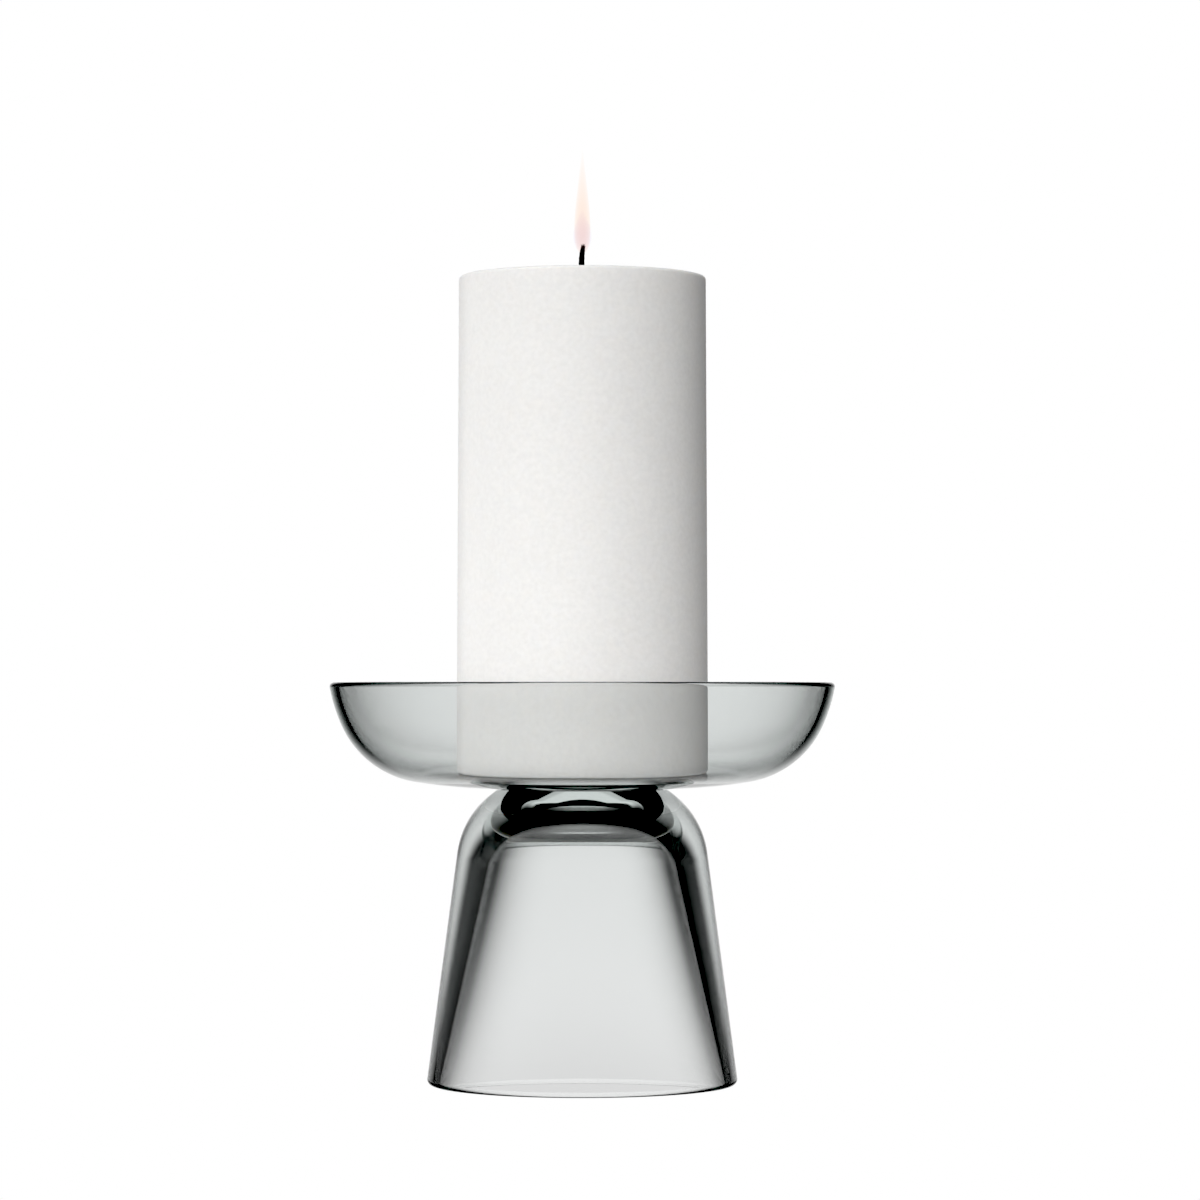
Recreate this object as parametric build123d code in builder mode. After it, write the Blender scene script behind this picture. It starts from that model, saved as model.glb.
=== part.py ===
from build123d import *
import os
from math import asin, cos, degrees, radians, sin, tan

# Glass pillar-candle holder: a shallow dish bonded on a bell-shaped foot, with its candle.
# Millimetres, +Z up, origin at the centre of the ring that the foot stands on.

# --- bell base -------------------------------------------------------------------------
bell_height = 83.2
foot_radius = 44.0          # where the outside cone meets the table, before rounding
outer_draft = 7.5           # degrees from vertical
shoulder_start = 65.3       # height where the cone turns into the shoulder
shoulder_radius = 25.0
cavity_foot_radius = 40.55
cavity_draft = 12.5         # the wall thickens upwards
cavity_height = 76.3
crown_radius = 80.0         # the cavity's ceiling is a shallow crown that a smaller arc joins to the wall
crown_turn = 10.0
foot_outer_round = 1.5
foot_inner_round = 0.8

# --- bond ------------------------------------------------------------------------------
bond_outer_radius = 23.0    # a ring: the middle of the joint is dry
bond_inner_radius = 21.5
bond_thickness = 0.3

# --- dish ------------------------------------------------------------------------------
dish_flat_radius = 23.8     # flat underside that takes the bond
underside_radius = 150.0    # three tangent arcs make the outside
underside_turn = 9.0
corner_radius = 27.5
corner_turn = 56.5
side_radius = 47.0
side_turn = 14.0
wall_thickness = 2.5
dish_floor_thickness = 3.3

# --- candle ----------------------------------------------------------------------------
candle_height = 141.7
candle_top_radius = 35.0
candle_bottom_radius = 35.6  # draft of the mould
candle_top_round = 1.0
candle_bottom_round = 1.2
melt_pool_radius = 10.0
melt_pool_depth = 0.7
wick_radius = 0.85
wick_lean_radius = 15.0     # the burnt end leans one way, then curls back
wick_lean_turn = 6.0
wick_curl_radius = 27.0
wick_curl_turn = 17.0
sustainer_radius = 9.0
sustainer_sheet = 0.4
sustainer_neck_radius = 1.6
sustainer_neck_height = 6.0

# Heights of the stack
dish_underside = bell_height + bond_thickness
dish_floor = dish_underside + dish_floor_thickness
candle_top = dish_floor + candle_height

os.makedirs("parts", exist_ok=True)

# Bell: cone, tangent shoulder arc and flat top outside; steeper cone and crowned ceiling inside
shoulder_foot = (foot_radius - shoulder_start * tan(radians(outer_draft)), shoulder_start)
shoulder_end = degrees(asin((bell_height - shoulder_start) / shoulder_radius + sin(radians(outer_draft))))

# Cavity: the arc between crown and wall has the one radius that lets it end on the wall's cone
cavity_turn = 90 - cavity_draft
wall_slope = tan(radians(cavity_draft))
crown_width = crown_radius * sin(radians(crown_turn))
crown_drop = crown_radius * (1 - cos(radians(crown_turn)))
corner_width = sin(radians(cavity_turn)) - sin(radians(crown_turn))     # of an arc of radius 1
corner_drop = cos(radians(crown_turn)) - cos(radians(cavity_turn))
spare_width = cavity_foot_radius - (cavity_height - crown_drop) * wall_slope - crown_width
cavity_corner_radius = spare_width / (corner_width - corner_drop * wall_slope)

with BuildPart() as bell_base:
    with BuildSketch(Plane.XZ) as bell_section:
        with BuildLine():
            outer_cone = Line((foot_radius, 0), shoulder_foot)
            shoulder = JernArc(
                start=outer_cone @ 1,
                tangent=outer_cone % 1,
                radius=shoulder_radius,
                arc_size=shoulder_end - outer_draft,
            )
            Polyline(shoulder @ 1, (0, bell_height), (0, cavity_height))
            crown = JernArc((0, cavity_height), (1, 0), crown_radius, -crown_turn)
            cavity_corner = JernArc(crown @ 1, crown % 1, cavity_corner_radius, crown_turn - cavity_turn)
            Polyline(cavity_corner @ 1, (cavity_foot_radius, 0), (foot_radius, 0))
        make_face()
        foot_corners = bell_section.vertices().group_by(Axis.Y)[0].sort_by(Axis.X)
        fillet(foot_corners[-1], foot_outer_round)
        foot_corners = bell_section.vertices().group_by(Axis.Y)[0].sort_by(Axis.X)
        fillet(foot_corners[0], foot_inner_round)
    revolve(axis=Axis.Z)
bell_base.part.label = "bell_base"
export_step(bell_base.part, "parts/bell_base.step")

# Bond: a ring of clear adhesive between the bell's top flat and the dish's underside
with BuildPart() as bond_ring:
    with BuildSketch(Plane.XY.offset(bell_height)):
        Circle(bond_outer_radius)
        Circle(bond_inner_radius, mode=Mode.SUBTRACT)
    extrude(amount=bond_thickness)
bond_ring.part.label = "bond_ring"
export_step(bond_ring.part, "parts/bond_ring.step")

# Dish: the outside is a flat and three tangent arcs, the lip a half circle, and the inside
# runs parallel to the wall and then turns into a flat floor that is thicker than the wall
with BuildPart() as dish:
    with BuildSketch(Plane.XZ):
        with BuildLine():
            base_flat = Line((0, dish_underside), (dish_flat_radius, dish_underside))
            underside = JernArc(base_flat @ 1, base_flat % 1, underside_radius, underside_turn)
            corner = JernArc(underside @ 1, underside % 1, corner_radius, corner_turn)
            side = JernArc(corner @ 1, corner % 1, side_radius, side_turn)
            lip = JernArc(side @ 1, side % 1, wall_thickness / 2, 180)
            inner_side = JernArc(lip @ 1, lip % 1, side_radius - wall_thickness, -side_turn)
            inner_turn = underside_turn + corner_turn
            inner_drop = (inner_side @ 1).Y - dish_floor
            inner_radius = inner_drop / (1 - cos(radians(inner_turn)))
            inner_corner = JernArc(inner_side @ 1, inner_side % 1, inner_radius, -inner_turn)
            Polyline(inner_corner @ 1, (0, dish_floor), (0, dish_underside))
        make_face()
    revolve(axis=Axis.Z)
dish.part.label = "dish"
export_step(dish.part, "parts/dish.step")

# Wick: braided cotton from the sustainer up through the wax; its burnt end leans and curls back
with BuildPart() as wick:
    with BuildLine() as wick_path:
        buried = Line((0, 0, dish_floor), (0, 0, candle_top - melt_pool_depth))
        with BuildLine(Plane.XZ):
            lean = JernArc((0, candle_top - melt_pool_depth), (0, 1), wick_lean_radius, wick_lean_turn)
            JernArc(lean @ 1, lean % 1, wick_curl_radius, -wick_curl_turn)
    with BuildSketch(Plane.XY.offset(dish_floor)):
        Circle(wick_radius)
    sweep(path=wick_path.wires()[0])
wick.part.label = "wick"
export_step(wick.part, "parts/wick.step")

# Sustainer: a sheet-metal foot with a neck crimped round the wick, flush with the candle's base
with BuildPart() as wick_sustainer:
    with BuildSketch(Plane.XY.offset(dish_floor)):
        Circle(sustainer_radius)
    extrude(amount=sustainer_sheet)
    with BuildSketch(Plane.XY.offset(dish_floor)):
        Circle(sustainer_neck_radius)
    extrude(amount=sustainer_neck_height)
    with BuildSketch(Plane.XY.offset(dish_floor)):
        Circle(wick_radius)
    extrude(amount=sustainer_neck_height, mode=Mode.SUBTRACT)
wick_sustainer.part.label = "wick_sustainer"
export_step(wick_sustainer.part, "parts/wick_sustainer.step")

# Wax: a slightly tapered pillar cast round the wick, with a shallow melt pool and a recess for the sustainer
with BuildPart() as candle_wax:
    with BuildSketch(Plane.XZ) as wax_section:
        with BuildLine():
            Polyline(
                (wick_radius, dish_floor + sustainer_neck_height),
                (sustainer_neck_radius, dish_floor + sustainer_neck_height),
                (sustainer_neck_radius, dish_floor + sustainer_sheet),
                (sustainer_radius, dish_floor + sustainer_sheet),
                (sustainer_radius, dish_floor),
                (candle_bottom_radius, dish_floor),
                (candle_top_radius, candle_top),
                (melt_pool_radius, candle_top),
            )
            pool = Spline(
                (melt_pool_radius, candle_top),
                (wick_radius, candle_top - melt_pool_depth),
                tangents=[(-1, -0.25), (-1, 0)],
            )
            Line(pool @ 1, (wick_radius, dish_floor + sustainer_neck_height))
        make_face()
        rim_corner = wax_section.vertices().sort_by_distance((candle_top_radius, candle_top))[0]
        fillet(rim_corner, candle_top_round)
        base_corner = wax_section.vertices().sort_by_distance((candle_bottom_radius, dish_floor))[0]
        fillet(base_corner, candle_bottom_round)
    revolve(axis=Axis.Z)
candle_wax.part.label = "candle_wax"
export_step(candle_wax.part, "parts/candle_wax.step")
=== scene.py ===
import math
import bpy
import numpy as np
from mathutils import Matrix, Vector


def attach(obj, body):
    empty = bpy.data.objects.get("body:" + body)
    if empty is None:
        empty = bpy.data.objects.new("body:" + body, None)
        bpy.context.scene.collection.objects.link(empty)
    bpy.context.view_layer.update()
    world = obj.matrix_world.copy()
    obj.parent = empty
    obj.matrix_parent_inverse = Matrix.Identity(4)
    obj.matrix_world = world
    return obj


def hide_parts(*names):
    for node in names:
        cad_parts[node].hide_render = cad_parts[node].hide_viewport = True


# Glass pillar-candle holder with its lit candle.
# Lengths in the dictionaries are millimetres and angles degrees, unless a note says otherwise.

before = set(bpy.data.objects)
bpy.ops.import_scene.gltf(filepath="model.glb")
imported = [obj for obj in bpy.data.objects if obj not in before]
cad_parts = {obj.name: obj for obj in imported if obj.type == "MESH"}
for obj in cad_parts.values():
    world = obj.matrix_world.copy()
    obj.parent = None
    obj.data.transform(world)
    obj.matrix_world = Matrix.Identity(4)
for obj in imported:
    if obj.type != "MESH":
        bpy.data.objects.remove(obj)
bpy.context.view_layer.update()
mm = 0.001
scene = bpy.context.scene
scene.view_settings.view_transform = "Standard"
scene.view_settings.use_curve_mapping = True     # a deep black point, as in catalogue print
scene.view_settings.curve_mapping.black_level = (0.03, 0.03, 0.03)
scene.view_settings.curve_mapping.update()
for limit in ("max_bounces", "transmission_bounces", "glossy_bounces", "transparent_max_bounces"):
    setattr(scene.cycles, limit, 24)    # light crosses the stacked glass many times
print("frame loaded")


def hexToLinear(code):
    # sRGB hex to linear light: the standard curve, one channel at a time
    srgb = [int(code[i:i + 2], 16) / 255 for i in (1, 3, 5)]
    return [c / 12.92 if c <= 0.04045 else ((c + 0.055) / 1.055) ** 2.4 for c in srgb] + [1.0]


def addNode(material, kind, settings=None, links=None):
    # one node: settings go to attributes or input sockets by name, links are {input: (node, output)}
    node = material.node_tree.nodes.new(kind)
    for name, value in (settings or {}).items():
        if isinstance(name, int) or name in node.inputs:
            node.inputs[name].default_value = value
        else:
            setattr(node, name, value)
    for name, (source, output) in (links or {}).items():
        material.node_tree.links.new(source.outputs[output], node.inputs[name])
    return node


def blankMaterial(name):
    material = bpy.data.materials.new(name)
    material.use_nodes = True
    material.node_tree.nodes.clear()
    return material


def fillMesh(name, points, faces, materials, normals=None):
    mesh = bpy.data.meshes.new(name)
    mesh.from_pydata(points, [], faces)
    for material in materials:
        mesh.materials.append(material)
    mesh.polygons.foreach_set("use_smooth", np.ones(len(mesh.polygons), bool))
    if normals is not None:
        mesh.normals_split_custom_set_from_vertices(normals)
    mesh.update()
    piece = bpy.data.objects.new(name, mesh)
    scene.collection.objects.link(piece)
    return piece


def walk(start, heading, moves):
    # an outline drawn like a turtle's walk in a plane: each move is ("line", length, steps) or
    # ("arc", radius, turn, steps), and an arc's points are its centre + radius * (sin, -cos) of the heading
    place = np.array(start, float)
    places, headings = [place[None]], [np.array([float(heading)])]
    for move in moves:
        if move[0] == "line":
            t = np.linspace(0, 1, move[2] + 1)[1:, None]
            ahead = math.radians(heading)
            run = place + t * move[1] * np.array([math.cos(ahead), math.sin(ahead)])
            bearing = np.full(move[2], float(heading))
        else:
            side = math.copysign(move[1], move[2])
            bearing = heading + move[2] * np.linspace(0, 1, move[3] + 1)[1:]
            a, b = math.radians(heading), np.radians(bearing)
            centre = place + side * np.array([-math.sin(a), math.cos(a)])
            run = centre + side * np.stack([np.sin(b), -np.cos(b)], 1)
            heading += move[2]
        places.append(run)
        headings.append(bearing)
        place = run[-1]
    return np.concatenate(places), np.concatenate(headings)


def ringFaces(n, m, closed=False):
    # quads between n rings of m points each; a closed form joins its last ring to its first, and an open one
    # has a fan at each end, to the two pole points that follow the rings
    i, j = np.meshgrid(np.arange(n if closed else n - 1), np.arange(m), indexing="ij")
    up, k = (i + 1) % n, (j + 1) % m
    faces = np.stack([i * m + j, i * m + k, up * m + k, up * m + j], -1).reshape(-1, 4).tolist()
    if not closed:
        j = np.arange(m)
        k = (j + 1) % m
        faces += np.stack([np.full(m, n * m), k, j], 1).tolist()
        faces += np.stack([np.full(m, n * m + 1), (n - 1) * m + j, (n - 1) * m + k], 1).tolist()
    return faces


def turned(name, outline, headings, around, materials, pick=None, closed=False):
    # a solid of revolution: the outline (radius, height) is carried round the z axis, so a point is
    # (radius cos a, radius sin a, height), and a normal is the heading turned a quarter right and
    # carried round too; an open outline starts and ends on the axis, in pole points, and a closed one
    # makes a ring; pick says which faces, by radius and height, take the second material
    inner = slice(None) if closed else slice(1, -1)
    ring = outline[inner] * mm
    n, m = len(ring), around
    a = np.linspace(0, 2 * math.pi, m, endpoint=False)
    along = np.stack([np.cos(a), np.sin(a)], -1)
    out = np.radians(headings[inner] - 90)
    points = np.concatenate([ring[:, None, :1] * along, np.broadcast_to(ring[:, None, 1:], (n, m, 1))], -1)
    normals = np.concatenate([np.cos(out)[:, None, None] * along,
                              np.broadcast_to(np.sin(out)[:, None, None], (n, m, 1))], -1)
    points, normals = points.reshape(-1, 3), normals.reshape(-1, 3)
    if not closed:
        points = np.concatenate([points, [[0, 0, outline[0, 1] * mm], [0, 0, outline[-1, 1] * mm]]])
        tips = np.sin(np.radians(headings[[0, -1]] - 90))
        normals = np.concatenate([normals, [[0, 0, tips[0]], [0, 0, tips[1]]]])
    piece = fillMesh(name, points, ringFaces(n, m, closed), materials, normals)
    if pick:
        mesh = piece.data
        centres = np.empty(len(mesh.polygons) * 3)
        mesh.polygons.foreach_get("center", centres)
        centres = centres.reshape(-1, 3) / mm
        chosen = pick(np.hypot(centres[:, 0], centres[:, 1]), centres[:, 2])
        mesh.polygons.foreach_set("material_index", chosen.astype(np.int32))
    return piece


def letLightPass(piece):
    # lamplight and bounced light reach the candle as if the glass weren't there
    piece.visible_diffuse = False
    piece.visible_shadow = False


view = {
    "distance": 1218,       # from the axis
    "height": 111.3,
    "lens": 129,
    "sensor": 36,
    "aimHeight": 136.8,     # height of the point that the camera looks at
    "aimRight": 5.0,        # and how far right of the axis it is
}
cameraData = bpy.data.cameras.new("camera")
cameraData.lens = view["lens"]
cameraData.sensor_width = view["sensor"]
camera = bpy.data.objects.new("camera", cameraData)
camera.location = Vector((0, -view["distance"], view["height"])) * mm
aim = Vector((view["aimRight"], 0, view["aimHeight"])) * mm
camera.rotation_euler = (aim - camera.location).to_track_quat("-Z", "Y").to_euler()
scene.collection.objects.link(camera)
scene.camera = camera
print("camera placed")


studio = {                      # glows are strengths of emission
    "tentRadius": 850,
    "panelTurn": (5, 31),       # round from the view axis: still white, already black
    "panelTop": (26, 46),       # above it
    "panelFoot": (-32, -48),    # below it
    "panelTable": (-6, -14, 0.78),      # where the table takes over from the panel, and how bright it is
    "cardNear": (-62, -24),     # round to the left: full, gone
    "cardFar": (-62, -80),
    "cardGlow": 0.06,
    "floorSize": 20000,
    "tableRadius": 300,
    "tableEdges": 64,
    "tableGlow": 0.68,          # what the table throws back up at the candle
    "lampDistance": 900,
    "lampWidth": 800,
    "lampTall": 500,
    "lampHeight": 150,          # and the height that they aim at
    "lamps": {                  # round from the camera's side, left being minus: watts
        -130: 5.8,
        -70: 2.0,
        -10: 7.0,
        95: 1.5,
    },
    "topHeight": 1100,
    "topSize": 240,
    "topWatts": 5.5,
}


def emitter(name, strength):
    material = blankMaterial(name)
    glow = addNode(material, "ShaderNodeEmission", {"Color": (1, 1, 1, 1), "Strength": strength})
    addNode(material, "ShaderNodeOutputMaterial", links={"Surface": (glow, 0)})
    return material


def showOnlyTo(thing, *rays):
    for ray in ("camera", "diffuse", "glossy", "transmission", "shadow", "volume_scatter"):
        setattr(thing, "visible_" + ray, ray in rays)


def makeFloor():
    # an evenly lit white sheet; what it gives back to the candle comes from a smaller round of it
    half = studio["floorSize"] * mm / 2
    corners = [(-half, -half, 0), (half, -half, 0), (half, half, 0), (-half, half, 0)]
    floor = fillMesh("floor", corners, [(0, 1, 2, 3)], [emitter("opal acrylic light table", 1.0)])
    showOnlyTo(floor, "camera")
    edges = studio["tableEdges"]
    a = np.linspace(0, 2 * math.pi, edges, endpoint=False)
    disc = np.stack([np.cos(a), np.sin(a), a * 0], -1) * studio["tableRadius"] * mm
    paper = emitter("white paper, lit", studio["tableGlow"])
    showOnlyTo(fillMesh("table_bounce", disc, [tuple(range(edges))], [paper]), "diffuse")


makeFloor()

world = bpy.data.worlds.new("studio")
world.use_nodes = True
world.node_tree.nodes["Background"].inputs["Color"].default_value = (1, 1, 1, 1)
scene.world = world
for ray in ("diffuse", "glossy", "transmission", "scatter"):
    setattr(world.cycles_visibility, ray, False)


def tentMaterial():
    # a white panel straight behind the object, which fades to black cloth at the sides, above and below,
    # with a dim grey card far round on the left; the panel is the product of four fades of the angles
    # round and above the view axis, and the card of two
    material = blankMaterial("light tent, white panel and black cloth")
    place = addNode(material, "ShaderNodeTexCoord")
    split = addNode(material, "ShaderNodeSeparateXYZ", links={"Vector": (place, "Object")})
    back = addNode(material, "ShaderNodeMath", {"operation": "MULTIPLY", 1: -1.0}, {0: (split, "Z")})
    turn = addNode(material, "ShaderNodeMath", {"operation": "ARCTAN2"}, {0: (split, "X"), 1: (back, 0)})
    aside = addNode(material, "ShaderNodeMath", {"operation": "ABSOLUTE"}, {0: (turn, 0)})
    flat = addNode(material, "ShaderNodeVectorMath", {"operation": "MULTIPLY", 1: (1, 0, 1)},
                   {0: (place, "Object")})
    reach = addNode(material, "ShaderNodeVectorMath", {"operation": "LENGTH"}, {0: (flat, 0)})
    rise = addNode(material, "ShaderNodeMath", {"operation": "ARCTAN2"},
                   {0: (split, "Y"), 1: (reach, "Value")})
    products = []
    for fades in ([(aside, "panelTurn"), (rise, "panelTop"), (rise, "panelFoot"), (rise, "panelTable")],
                  [(turn, "cardNear"), (turn, "cardFar")]):
        product = None
        for angle, name in fades:
            full, none, *least = studio[name]
            fade = addNode(material, "ShaderNodeMapRange", {
                "interpolation_type": "SMOOTHSTEP",
                "From Min": math.radians(none), "From Max": math.radians(full),
                "To Min": least[0] if least else 0.0}, {"Value": (angle, 0)})
            if product:
                fade = addNode(material, "ShaderNodeMath", {"operation": "MULTIPLY"},
                               {0: (product, 0), 1: (fade, 0)})
            product = fade
        products.append(product)
    panel, card = products
    dim = addNode(material, "ShaderNodeMath", {"operation": "MULTIPLY", 1: studio["cardGlow"]},
                  {0: (card, 0)})
    both = addNode(material, "ShaderNodeMath", {"operation": "MAXIMUM"}, {0: (panel, 0), 1: (dim, 0)})
    glow = addNode(material, "ShaderNodeEmission", {"Color": (1, 1, 1, 1)}, {"Strength": (both, 0)})
    addNode(material, "ShaderNodeOutputMaterial", links={"Surface": (glow, 0)})
    return material


bpy.ops.mesh.primitive_uv_sphere_add(segments=96, ring_count=48, radius=studio["tentRadius"] * mm)
tent = bpy.context.object
tent.name = "tent"
tent.data.materials.append(tentMaterial())
tent.parent = camera
tent.location = (0, 0, -view["distance"] * mm)
showOnlyTo(tent, "glossy", "transmission")


def softbox(name, place, wide, tall, watts):
    # a lamp for the candle: the glass neither mirrors it nor shows it
    lampData = bpy.data.lights.new(name, "AREA")
    lampData.shape = "RECTANGLE"
    lampData.size = wide * mm
    lampData.size_y = tall * mm
    lampData.energy = watts
    lamp = bpy.data.objects.new(name, lampData)
    lamp.location = Vector(place) * mm
    aim = Vector((0, 0, studio["lampHeight"])) * mm
    lamp.rotation_euler = (aim - lamp.location).to_track_quat("-Z", "Y").to_euler()
    scene.collection.objects.link(lamp)
    lamp.visible_glossy = False
    lamp.visible_transmission = False


for turn, watts in studio["lamps"].items():
    right = studio["lampDistance"] * math.sin(math.radians(turn))
    deep = -studio["lampDistance"] * math.cos(math.radians(turn))
    place = (right, deep, studio["lampHeight"])
    softbox(f"softbox_{turn}", place, studio["lampWidth"], studio["lampTall"], watts)
softbox("softbox_top", (0, 0, studio["topHeight"]), studio["topSize"], studio["topSize"], studio["topWatts"])
print("studio lit")


dishGlass = {"tint": "#CFD9D6", "perMetre": 97}     # the dish takes more light than the bell
bellGlass = {"tint": "#CFD9D6", "perMetre": 20}
glassSkin = {"ripple": 14, "rippleDepth": 0.004}


def glassMaterial(name, glass):
    # soda-lime glass with a smoke tint, pressed and fire polished: clear gloss, colour that grows with
    # depth, and a faint ripple that the mould leaves, which bends what is seen through it by a hair
    material = blankMaterial(name)
    place = addNode(material, "ShaderNodeTexCoord")
    ripple = addNode(material, "ShaderNodeTexNoise", {
        "Scale": 1 / (glassSkin["ripple"] * mm), "Detail": 1.0, "Roughness": 0.4},
        {"Vector": (place, "Object")})
    skin = addNode(material, "ShaderNodeBump", {
        "Strength": 1.0, "Distance": glassSkin["rippleDepth"] * mm}, {"Height": (ripple, 0)})
    surface = addNode(material, "ShaderNodeBsdfPrincipled", {
        "Base Color": (1, 1, 1, 1), "Roughness": 0.0, "IOR": 1.52, "Transmission Weight": 1.0},
        {"Normal": (skin, 0)})
    depth = addNode(material, "ShaderNodeVolumeAbsorption", {
        "Color": hexToLinear(glass["tint"]), "Density": glass["perMetre"]})
    addNode(material, "ShaderNodeOutputMaterial", links={"Surface": (surface, 0), "Volume": (depth, 0)})
    return material


def wettedMaterial(name, glass=None):
    # where adhesive and glass touch: both have nearly one index, so light goes straight on
    material = blankMaterial(name)
    surface = addNode(material, "ShaderNodeBsdfTransparent", {"Color": (1, 1, 1, 1)})
    links = {"Surface": (surface, 0)}
    if glass:
        depth = addNode(material, "ShaderNodeVolumeAbsorption", {
            "Color": hexToLinear(glass["tint"]), "Density": glass["perMetre"]})
        links["Volume"] = (depth, 0)
    addNode(material, "ShaderNodeOutputMaterial", links=links)
    return material


bell = {
    "height": 83.2, "footRadius": 44.0, "outerDraft": 7.5,
    "shoulderStart": 65.3, "shoulderRadius": 25.0,
    "cavityFootRadius": 40.55, "cavityDraft": 12.5, "cavityHeight": 76.3,
    "crownRadius": 80.0, "crownTurn": 10.0,
    "footOuterRound": 1.5, "footInnerRound": 0.8, "topRound": 0.3,
    "around": 256,
}
bond = {
    "inner": 21.5, "outer": 23.0, "thick": 0.3,
    "clear": 0.005,                         # gap to the glass above and below
    "peel": 1.5, "peelDepth": 0.02,
    "around": 192,
}


def makeBell():
    # outline from the cavity's ceiling down the inside, round the foot and up the outside to the flat top;
    # the arc between ceiling and wall has the one radius that lets it end on the wall's cone
    d = bell
    inTurn, outTurn = 90 - d["cavityDraft"], 90 + d["outerDraft"]
    sinIn, cosIn = math.sin(math.radians(d["cavityDraft"])), math.cos(math.radians(d["cavityDraft"]))
    sinOut, cosOut = math.sin(math.radians(d["outerDraft"])), math.cos(math.radians(d["outerDraft"]))
    innerCut = d["footInnerRound"] * math.tan(math.radians(inTurn / 2))
    outerCut = d["footOuterRound"] * math.tan(math.radians(outTurn / 2))
    wide = math.sin(math.radians(d["crownTurn"]))      # the crown's half width and drop, over its radius
    deep = 1 - math.cos(math.radians(d["crownTurn"]))
    slope = sinIn / cosIn
    spare = d["cavityFootRadius"] - d["cavityHeight"] * slope - d["crownRadius"] * (wide - slope * deep)
    corner = spare / (cosIn - wide - slope * (1 - deep - sinIn))
    wallTop = d["cavityHeight"] - d["crownRadius"] * deep - corner * (1 - deep - sinIn)
    rise = (d["height"] - d["shoulderStart"]) / d["shoulderRadius"] + sinOut
    shoulderTurn = math.degrees(math.asin(rise)) - d["outerDraft"]
    topTurn = 180 - outTurn - shoulderTurn
    topCut = d["topRound"] * math.tan(math.radians(topTurn / 2))
    shoulderTurn -= math.degrees(topCut / d["shoulderRadius"])
    outline, headings = walk((0, d["cavityHeight"]), 0, [
        ("arc", d["crownRadius"], -d["crownTurn"], 16),
        ("arc", corner, d["crownTurn"] - inTurn, 40),
        ("line", wallTop / cosIn - innerCut, 40),
        ("arc", d["footInnerRound"], inTurn, 12),
        ("line", d["footRadius"] - d["cavityFootRadius"] - innerCut - outerCut, 2),
        ("arc", d["footOuterRound"], outTurn, 16),
        ("line", d["shoulderStart"] / cosOut - outerCut, 40),
        ("arc", d["shoulderRadius"], shoulderTurn, 40),
        ("arc", d["topRound"], topTurn, 6),
    ])
    flat = outline[-1, 0]
    cap, capHeadings = walk((flat, d["height"]), 180, [
        ("line", flat - bond["outer"], 2),
        ("line", bond["outer"] - bond["inner"], 2),
        ("line", bond["inner"], 6),
    ])
    outline = np.concatenate([outline, cap[1:]])
    headings = np.concatenate([headings, capHeadings[1:]])

    def wetted(radius, height):
        return (height > d["height"] - 0.01) & (radius > bond["inner"]) & (radius < bond["outer"])

    piece = turned("bell_glass", outline, headings, d["around"],
                   [glassMaterial("soda-lime smoke glass, bell", bellGlass),
                    wettedMaterial("bonded glass face, bell", bellGlass)], wetted)
    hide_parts("bell_base")
    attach(piece, "holder")


dish = {
    "underside": bell["height"] + bond["thick"], "flat": 23.8,
    "arcs": ((150.0, 9.0, 16), (27.5, 56.5, 40), (47.0, 14.0, 16)),   # radius, turn, steps
    "wall": 2.5, "floor": 86.8,
    "around": 256,
}


def makeDish():
    # outline along the underside, up the side, over the half-round lip and back down the inside to the
    # flat floor
    d = dish
    sideRadius, sideTurn, sideSteps = d["arcs"][-1]
    moves = [("line", bond["inner"], 6), ("line", bond["outer"] - bond["inner"], 2)]
    moves += [("line", d["flat"] - bond["outer"], 1)] + [("arc", r, turn, n) for r, turn, n in d["arcs"]]
    moves += [("arc", d["wall"] / 2, 180, 28), ("arc", sideRadius - d["wall"], -sideTurn, sideSteps)]
    outline, headings = walk((0, d["underside"]), 0, moves)
    inTurn = headings[-1] - 180
    cornerRadius = (outline[-1, 1] - d["floor"]) / (1 - math.cos(math.radians(inTurn)))
    inside, insideHeadings = walk(outline[-1], headings[-1], [("arc", cornerRadius, -inTurn, 40)])
    middle, middleHeadings = walk(inside[-1], 180, [("line", inside[-1, 0], 10)])
    outline = np.concatenate([outline, inside[1:], middle[1:]])
    headings = np.concatenate([headings, insideHeadings[1:], middleHeadings[1:]])

    def wetted(radius, height):
        return (height < d["underside"] + 0.01) & (radius > bond["inner"]) & (radius < bond["outer"])

    piece = turned("dish_glass", outline, headings, d["around"],
                   [glassMaterial("soda-lime smoke glass, dish", dishGlass),
                    wettedMaterial("bonded glass face, dish", dishGlass)], wetted)
    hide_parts("dish")
    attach(piece, "holder")
    letLightPass(piece)


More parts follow.
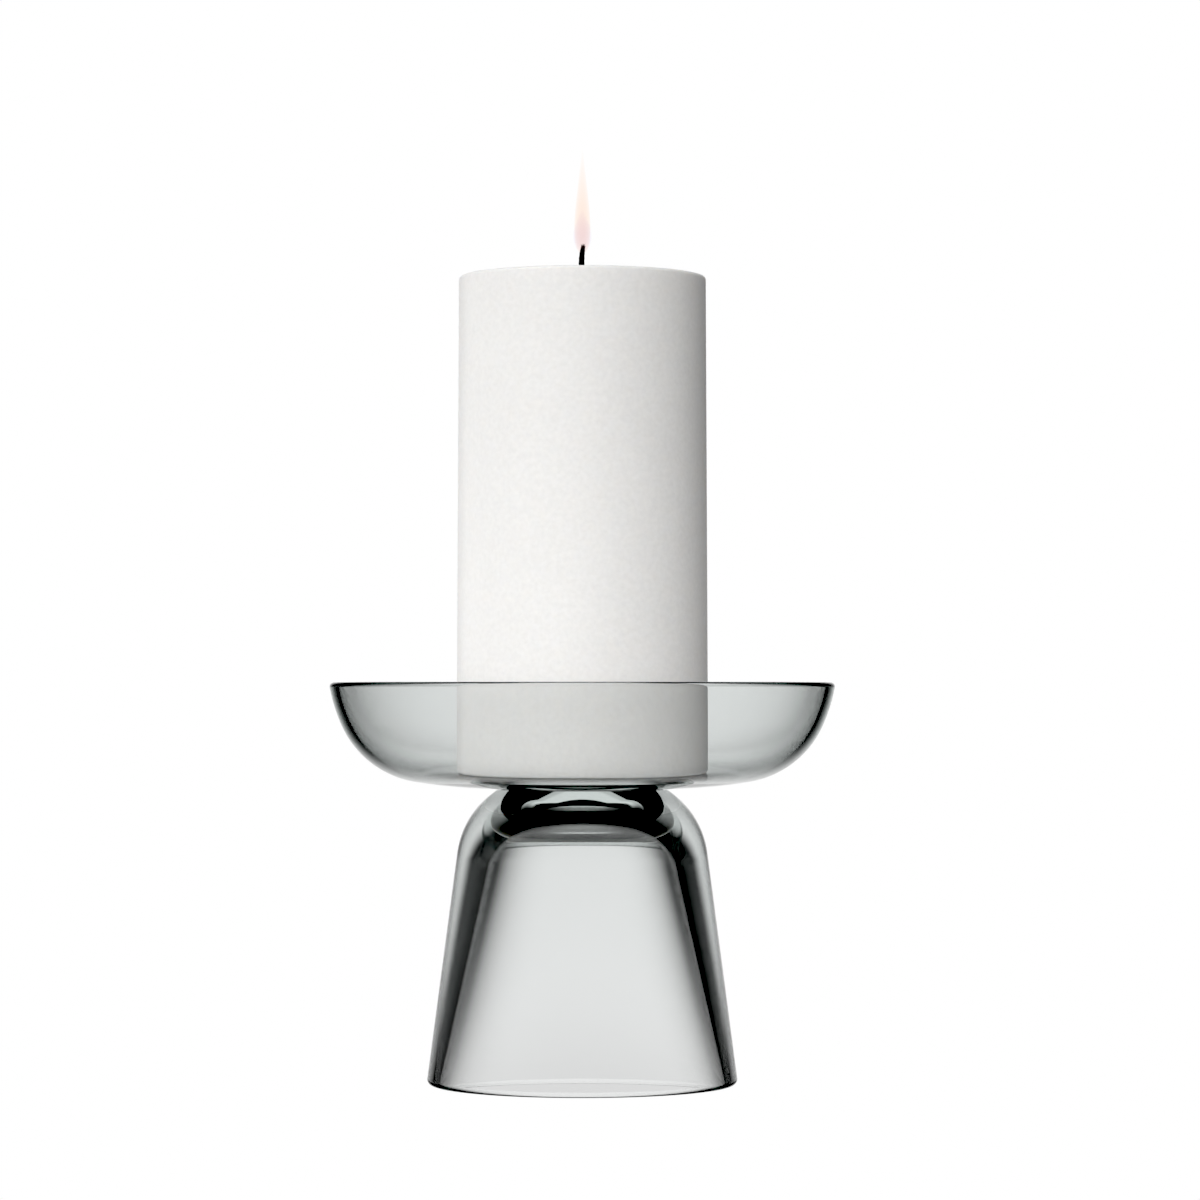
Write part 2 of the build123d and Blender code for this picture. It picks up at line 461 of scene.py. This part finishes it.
def makeBond():
    # a flat ring with half-round edges, a hair clear of the two glass faces
    low, high = bell["height"] + bond["clear"], dish["underside"] - bond["clear"]
    edge = (high - low) / 2
    width = bond["outer"] - bond["inner"] - 2 * edge
    outline, headings = walk((bond["inner"] + edge, low), 0, [
        ("line", width, 2), ("arc", edge, 180, 10), ("line", width, 2), ("arc", edge, 180, 10)])

    def face(radius, height):
        return (radius > bond["inner"] + edge) & (radius < bond["outer"] - edge)

    # light-cured acrylic: clear, set with a slight orange peel on its free edges
    acrylic = blankMaterial("acrylic adhesive, cured clear")
    place = addNode(acrylic, "ShaderNodeTexCoord")
    peel = addNode(acrylic, "ShaderNodeTexNoise", {"Scale": 1 / (bond["peel"] * mm), "Detail": 1.0},
                   {"Vector": (place, "Object")})
    skin = addNode(acrylic, "ShaderNodeBump", {"Strength": 1.0, "Distance": bond["peelDepth"] * mm},
                   {"Height": (peel, 0)})
    surface = addNode(acrylic, "ShaderNodeBsdfPrincipled", {
        "Base Color": (1, 1, 1, 1), "Roughness": 0.05, "IOR": 1.5, "Transmission Weight": 1.0},
        {"Normal": (skin, 0)})
    addNode(acrylic, "ShaderNodeOutputMaterial", links={"Surface": (surface, 0)})
    piece = turned("bond_film", outline[:-1], headings[:-1], bond["around"],
                   [acrylic, wettedMaterial("bonded adhesive face")], face, closed=True)
    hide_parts("bond_ring")
    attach(piece, "holder")
    letLightPass(piece)


shade = {
    "cardRadius": 34.5, "cardEdge": 0.2, "cardDrop": 1,     # drop below the dish's floor
    "veilRadius": 50, "veilTall": 30.0, "veilThick": 0.3, "veilRound": 0.05,
    "veilPasses": 0.86,
    "around": 64,
}


def makeShade():
    # hardly any light gets in under the candle through the bell; this black card, which only the wax sees,
    # keeps its base dark
    d = shade
    outline, headings = walk((0, dish["floor"] - d["cardDrop"]), 0, [
        ("line", d["cardRadius"], 4), ("arc", d["cardEdge"], 180, 6), ("line", d["cardRadius"], 4)])
    dark = blankMaterial("shade card, black")
    surface = addNode(dark, "ShaderNodeBsdfDiffuse", {"Color": (0, 0, 0, 1)})
    addNode(dark, "ShaderNodeOutputMaterial", links={"Surface": (surface, 0)})
    card = turned("shade_card", outline, headings, d["around"], [dark])
    showOnlyTo(card, "diffuse", "shadow")
    # the dish's wall takes some of the light on its way to the candle: a thin veil round the candle stands
    # for it there, each of its two faces letting through the square root of the wall's share
    corner = ("arc", d["veilRound"], 90, 2)
    across, up = ("line", d["veilThick"], 1), ("line", d["veilTall"], 2)
    outline, headings = walk((d["veilRadius"], dish["underside"]), 0,
                             [across, corner, up, corner, across, corner, up, corner])
    grey = blankMaterial("shade veil, grey net")
    share = math.sqrt(d["veilPasses"])
    surface = addNode(grey, "ShaderNodeBsdfTransparent", {"Color": (share, share, share, 1)})
    addNode(grey, "ShaderNodeOutputMaterial", links={"Surface": (surface, 0)})
    veil = turned("shade_veil", outline[:-1], headings[:-1], d["around"], [grey], closed=True)
    showOnlyTo(veil, "diffuse", "shadow")


makeShade()
makeBell()
makeDish()
makeBond()
print("glass turned")


wax = {
    "floor": dish["floor"], "height": 141.7, "topRadius": 35.0, "bottomRadius": 35.6,
    "topRound": 1.0, "bottomRound": 1.2,
    "poolRadius": 10.0, "poolDepth": 0.7, "poolTurn": 14, "poolRimRadius": 3.0, "meniscus": 0.35,
    "clear": 0.02,                          # gap to what it touches
    "tiny": 0.02,                           # round of its hidden corners
    "mottle": 1.3, "mottleDepth": 0.02,     # size of the crystal flecks and the height of their relief
    "bloom": 22.0,                          # size of the soft cloudy patches
    "around": 192,
}
sustainer = {
    "radius": 9.0, "sheet": 0.4, "neck": 1.6, "neckHeight": 6.0,
    "clear": 0.04, "round": 0.05,           # gap to the wax over the sheet, round of the bore's lower end
    "root": 0.1, "lip": 0.12,               # rounds at the neck's foot and mouth
    "grain": 0.6,
    "around": 96,
}
wick = {
    "radius": 0.85, "lean": (15.0, 6.0), "curl": (27.0, -17.0),     # radius and turn of the two bends
    "clear": 0.01,                          # gap to the bore in the wax
    "strands": 4, "pitch": 3.4, "relief": 0.11,
    "under": 0.45,                          # how far a strand sinks where it passes under
    "lead": 4, "bare": 9.6,                 # finely cut length below the wax's top, length above it
    "thin": 0.72, "thinFrom": 0.45,         # the tip's radius over the rest, and where the taper starts
    "knobs": 0.05,                          # how far the char swells and shrinks
    "fuzz": 0.25, "fuzzDepth": 0.03,
    "fibres": 9, "fibreRadius": 0.07, "fibreLength": 0.8,
    "fibreSplay": (0.1, 0.45), "fibreFoot": (0.1, 0.42), "fibreSunk": 0.35,
    "fibreSteps": 8, "fibreAround": 6,
    "around": 48,
}


def waxMaterial():
    # paraffin with stearin, cast in a mould: near white, satin, with light that soaks in a few millimetres,
    # fine paler crystal flecks and a faint cloudy bloom
    material = blankMaterial("paraffin and stearin wax, cast")
    place = addNode(material, "ShaderNodeTexCoord")
    flecks = addNode(material, "ShaderNodeTexNoise", {
        "Scale": 1 / (wax["mottle"] * mm), "Detail": 2.0, "Roughness": 0.45}, {"Vector": (place, "Object")})
    bloom = addNode(material, "ShaderNodeTexNoise", {
        "Scale": 1 / (wax["bloom"] * mm), "Detail": 3.0, "Roughness": 0.5}, {"Vector": (place, "Object")})
    both = addNode(material, "ShaderNodeMath", {"operation": "MULTIPLY_ADD", 1: 0.35},
                   {0: (bloom, 0), 2: (flecks, 0)})
    colour = addNode(material, "ShaderNodeValToRGB", links={"Fac": (both, 0)})
    stops = colour.color_ramp.elements
    stops[0].position, stops[0].color = 0.35, hexToLinear("#EDECEA")
    stops[1].position, stops[1].color = 1.0, hexToLinear("#F6F5F3")
    gloss = addNode(material, "ShaderNodeMapRange", {
        "From Min": 0.3, "From Max": 0.7, "To Min": 0.42, "To Max": 0.56}, {"Value": (flecks, 0)})
    relief = addNode(material, "ShaderNodeBump", {"Strength": 1.0, "Distance": wax["mottleDepth"] * mm},
                     {"Height": (flecks, 0)})
    surface = addNode(material, "ShaderNodeBsdfPrincipled", {
        "IOR": 1.44, "Subsurface Weight": 0.35,
        "Subsurface Radius": (1, 0.92, 0.82), "Subsurface Scale": 0.003},
        {"Base Color": (colour, 0), "Roughness": (gloss, 0), "Normal": (relief, 0)})
    addNode(material, "ShaderNodeOutputMaterial", links={"Surface": (surface, 0)})
    return material


def makeWax():
    # one closed outline: base, side, top, melt pool, up a little at the wick, down its bore and
    # round the recess for the sustainer
    d, s = wax, sustainer
    top, low = d["floor"] + d["height"], d["floor"] + d["clear"]
    lean = math.degrees(math.atan((d["bottomRadius"] - d["topRadius"]) / d["height"]))
    lowTurn, highTurn = 90 + lean, 90 - lean
    lowCut = d["bottomRound"] * math.tan(math.radians(lowTurn / 2))
    highCut = d["topRound"] * math.tan(math.radians(highTurn / 2))
    tiny = d["tiny"]
    start = s["radius"] + d["clear"] + tiny
    bore, neckBore = wick["radius"] + d["clear"], s["neck"] + d["clear"]
    pool = d["poolDepth"] / (1 - math.cos(math.radians(d["poolTurn"])))     # both arcs' radii together
    poolWidth = pool * math.sin(math.radians(d["poolTurn"]))
    outline, headings = walk((start, low), 0, [
        ("line", d["bottomRadius"] - lowCut - start, 12),
        ("arc", d["bottomRound"], lowTurn, 10),
        ("line", (d["height"] - d["clear"]) / math.cos(math.radians(lean)) - lowCut - highCut, 48),
        ("arc", d["topRound"], highTurn, 10),
        ("line", d["topRadius"] - highCut - d["poolRadius"], 16),
        ("arc", d["poolRimRadius"], d["poolTurn"], 8),
        ("arc", pool - d["poolRimRadius"], -d["poolTurn"], 12),
        ("line", d["poolRadius"] - poolWidth - bore - d["meniscus"] - 2 * tiny, 6),
        ("arc", d["meniscus"], -80, 8),
        ("arc", tiny, 170, 6),
    ])
    down = outline[-1, 1] - (d["floor"] + s["neckHeight"])
    rest, restHeadings = walk((bore, outline[-1, 1]), 270, [
        ("line", down, 24), ("arc", tiny, 90, 2),
        ("line", neckBore - bore - 2 * tiny, 1), ("arc", tiny, -90, 2),
        ("line", s["neckHeight"] - s["sheet"] - d["clear"] - 4 * tiny, 6), ("arc", tiny, 90, 2),
        ("line", s["radius"] - s["neck"] - 2 * tiny, 6), ("arc", tiny, -90, 2),
        ("line", s["sheet"] - 2 * tiny, 1), ("arc", tiny, 90, 2),
    ])
    outline = np.concatenate([outline[:-1], rest[:-1]])
    headings = np.concatenate([headings[:-1], restHeadings[:-1]])
    piece = turned("candle_wax_body", outline, headings, d["around"], [waxMaterial()], closed=True)
    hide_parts("candle_wax")
    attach(piece, "candle")


def sweptTube(centres, rights, fronts, radii):
    # a tube along a path: ring point = centre + radius * (right cos a + front sin a), radii being a row of
    # radii for each centre; a pole point closes each end
    n, m = radii.shape
    a = np.linspace(0, 2 * math.pi, m, endpoint=False)
    ring = rights[:, None] * np.cos(a)[None, :, None] + fronts[:, None] * np.sin(a)[None, :, None]
    points = (centres[:, None] + radii[:, :, None] * ring).reshape(-1, 3)
    points = np.concatenate([points, centres[:1], centres[-1:]])
    return points, ringFaces(n, m)


def wickMaterial(top):
    # braided cotton, soaked in wax and burnt: soot black and dull, browner where it leaves the wax,
    # with a little grey ash at its tip and fibres that catch light
    material = blankMaterial("braided cotton, charred")
    place = addNode(material, "ShaderNodeTexCoord")
    split = addNode(material, "ShaderNodeSeparateXYZ", links={"Vector": (place, "Object")})
    fuzz = addNode(material, "ShaderNodeTexNoise", {"Scale": 1 / (wick["fuzz"] * mm), "Detail": 2.0},
                   {"Vector": (place, "Object")})
    height = addNode(material, "ShaderNodeMapRange", {
        "From Min": (top - wax["poolDepth"]) * mm, "From Max": (top + 9.0) * mm}, {"Value": (split, "Z")})
    ragged = addNode(material, "ShaderNodeMath", {"operation": "MULTIPLY_ADD", 1: 0.16, 2: -0.08},
                     {0: (fuzz, 0)})
    shifted = addNode(material, "ShaderNodeMath", {"operation": "ADD"}, {0: (height, 0), 1: (ragged, 0)})
    colour = addNode(material, "ShaderNodeValToRGB", links={"Fac": (shifted, 0)})
    stops = colour.color_ramp.elements
    stops[0].position, stops[0].color = 0.0, hexToLinear("#2A211A")
    stops[1].position, stops[1].color = 0.18, hexToLinear("#0B0A0A")
    for position, code in ((0.82, "#0D0D0D"), (1.0, "#4A4745")):
        stops.new(position).color = hexToLinear(code)
    relief = addNode(material, "ShaderNodeBump", {"Strength": 1.0, "Distance": wick["fuzzDepth"] * mm},
                     {"Height": (fuzz, 0)})
    surface = addNode(material, "ShaderNodeBsdfPrincipled", {
        "Roughness": 0.85, "IOR": 1.5, "Sheen Weight": 0.1, "Sheen Roughness": 0.5},
        {"Base Color": (colour, 0), "Normal": (relief, 0)})
    addNode(material, "ShaderNodeOutputMaterial", links={"Surface": (surface, 0)})
    return material


def makeWick():
    # a tube of round braid: two sets of strands wind opposite ways and pass over and under each other, so
    # the radius is the base plus the higher strand's round back; above the wax it leans, curls back and thins
    d = wick
    top = wax["floor"] + wax["height"]
    leave = top - wax["poolDepth"]
    path, headings = walk((0, wax["floor"] + wax["clear"]), 90, [
        ("line", leave - d["lead"] - wax["floor"] - wax["clear"], 30), ("line", d["lead"], 30),
        ("arc", *d["lean"], 24), ("arc", *d["curl"], 110)])
    run = np.concatenate([[0], np.cumsum(np.linalg.norm(np.diff(path, axis=0), axis=1))])
    bare = np.clip((run - (run[-1] - d["bare"])) / d["bare"], 0, 1)[:, None]     # 0 in the wax, 1 at the tip
    a = np.linspace(0, 2 * math.pi, d["around"], endpoint=False)[None]
    one = a * d["strands"] / (2 * math.pi) + run[:, None] / d["pitch"] * d["strands"] / 2
    two = a * d["strands"] / (2 * math.pi) - run[:, None] / d["pitch"] * d["strands"] / 2
    backs = [np.sqrt(np.clip(1 - (2 * (p % 1) - 1) ** 2, 0, 1)) for p in (one, two)]
    over = (np.floor(one) + np.floor(two)) % 2
    high = np.maximum(backs[0] * (1.0 - d["under"] * (1 - over)), backs[1] * (1.0 - d["under"] * over))
    taper = 1 - (1 - d["thin"]) * np.clip((bare - d["thinFrom"]) / (1 - d["thinFrom"]), 0, 1) ** 2
    knobs = d["knobs"] * bare * np.sin(7 * run[:, None] + 3 * np.sin(a)) * np.sin(2 * a + 1.7 * run[:, None])
    radii = (d["radius"] - 2 * d["clear"]) * taper - d["relief"] * (1 - high) + knobs
    radii = np.minimum(radii, d["radius"] - d["clear"])
    radii[-1] *= 0.8        # a blunt end
    turn = np.radians(headings - 90)
    nil = np.zeros(len(path))
    rights = np.stack([np.cos(turn), nil, np.sin(turn)], -1)
    fronts = np.broadcast_to([0.0, 1.0, 0.0], rights.shape)
    centres = np.stack([path[:, 0], nil, path[:, 1]], -1)
    parts = [sweptTube(centres, rights, fronts, radii)]
    random = np.random.default_rng(7)
    tip = centres[-1]
    for i in range(d["fibres"]):
        # a loose fibre starts inside the tip and splays out along a parabola
        bearing = 2 * math.pi * (i + random.uniform(-0.3, 0.3)) / d["fibres"]
        outward = np.array([math.cos(bearing), math.sin(bearing), 0.0])
        t = np.linspace(0, 1, d["fibreSteps"])[:, None]
        splay, reach = random.uniform(*d["fibreSplay"]), d["fibreLength"] * random.uniform(0.5, 1.0)
        start = tip + outward * random.uniform(*d["fibreFoot"]) - [0, 0, d["fibreSunk"]]
        line = start + outward * splay * t ** 2 + np.array([0, 0, 1.0]) * (reach + 0.3) * t
        slim = d["fibreRadius"] * (1 - 0.7 * t ** 2) * np.ones((1, d["fibreAround"]))
        level = np.ones((d["fibreSteps"], 1))
        parts.append(sweptTube(line, level * [1.0, 0, 0], level * [0, 1.0, 0], slim))
    points, faces, count = [], [], 0
    for partPoints, partFaces in parts:
        faces += [tuple(v + count for v in face) for face in partFaces]
        points.append(partPoints)
        count += len(partPoints)
    piece = fillMesh("wick_braid", np.concatenate(points) * mm, faces, [wickMaterial(top)])
    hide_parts("wick")
    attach(piece, "candle")


def makeSustainer():
    # a thin disc with a short neck, as one closed outline: underside, rolled rim, top, neck and bore
    d = sustainer
    low, bore = wax["floor"] + wax["clear"], wick["radius"] + wick["clear"]
    edge = (d["sheet"] - d["clear"]) / 2
    root, lip, small = d["root"], d["lip"], d["round"]
    outline, headings = walk((bore + small, low), 0, [
        ("line", d["radius"] - edge - bore - small, 10),
        ("arc", edge, 180, 12),
        ("line", d["radius"] - edge - d["neck"] - root, 10),
        ("arc", root, -90, 6),
        ("line", d["neckHeight"] - 2 * edge - root - lip - small, 16),
        ("arc", lip, 90, 6),
    ])
    across = outline[-1, 0] - bore
    rest, restHeadings = walk(outline[-1], 180, [
        ("line", across - lip, 3), ("arc", lip, 90, 6), ("line", outline[-1, 1] - low - lip - small, 16),
        ("arc", small, 90, 4)])
    outline, headings = np.concatenate([outline, rest[1:-1]]), np.concatenate([headings, restHeadings[1:-1]])
    # tin-plated steel sheet, pressed: bright grey, soft gloss, with a faint rolled grain
    tinplate = blankMaterial("tinplate, pressed")
    place = addNode(tinplate, "ShaderNodeTexCoord")
    stretch = addNode(tinplate, "ShaderNodeMapping", {"Scale": (0.1, 1, 1)}, {"Vector": (place, "Object")})
    grain = addNode(tinplate, "ShaderNodeTexNoise", {"Scale": 1 / (d["grain"] * mm), "Detail": 3.0},
                    {"Vector": (stretch, 0)})
    gloss = addNode(tinplate, "ShaderNodeMapRange", {"To Min": 0.22, "To Max": 0.42}, {"Value": (grain, 0)})
    tone = addNode(tinplate, "ShaderNodeValToRGB", links={"Fac": (grain, 0)})
    tone.color_ramp.elements[0].color = hexToLinear("#B5B3AE")
    tone.color_ramp.elements[1].color = hexToLinear("#CFCDC8")
    surface = addNode(tinplate, "ShaderNodeBsdfPrincipled", {"Metallic": 1.0},
                      {"Base Color": (tone, 0), "Roughness": (gloss, 0)})
    addNode(tinplate, "ShaderNodeOutputMaterial", links={"Surface": (surface, 0)})
    piece = turned("sustainer_disc", outline, headings, d["around"], [tinplate], closed=True)
    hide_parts("wick_sustainer")
    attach(piece, "candle")


flame = {
    "lowest": 6.6, "tall": 30.6,        # above the candle's top
    "around": 48, "steps": 60,
    "shells": (     # widest radius, how far up that is, share of the height, tint, light taken per metre
        (2.35, 0.22, 1.0, "#FFC78F", 90),
        (2.65, 0.16, 0.42, "#D8C2F2", 60),
    ),
}


def makeFlame():
    # burning gas, which against a white background only tints it: each shell is a teardrop of revolution
    # whose radius is widest * sin(pi u^p), u being the share of its height and p what puts the widest
    # place right
    top = wax["floor"] + wax["height"]
    for i, (widest, place, share, tint, density) in enumerate(flame["shells"]):
        u = np.linspace(0, 1, flame["steps"])
        power = math.log(0.5) / math.log(place / share)
        radius = widest * np.sin(math.pi * u ** power)
        height = top + flame["lowest"] + flame["tall"] * share * u
        outline = np.stack([radius, height], -1)
        outline[[0, -1], 0] = 0
        steps = np.gradient(outline, axis=0)
        headings = np.degrees(np.arctan2(steps[:, 1], steps[:, 0]))
        gas = blankMaterial(f"flame gas {i}")
        clear = addNode(gas, "ShaderNodeBsdfTransparent", {"Color": (1, 1, 1, 1)})
        depth = addNode(gas, "ShaderNodeVolumeAbsorption", {"Color": hexToLinear(tint), "Density": density})
        addNode(gas, "ShaderNodeOutputMaterial", links={"Surface": (clear, 0), "Volume": (depth, 0)})
        shell = turned(f"flame_{i}", outline, headings, flame["around"], [gas])
        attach(shell, "candle")
        showOnlyTo(shell, "camera")


makeWax()
makeWick()
makeSustainer()
makeFlame()
print("candle set")
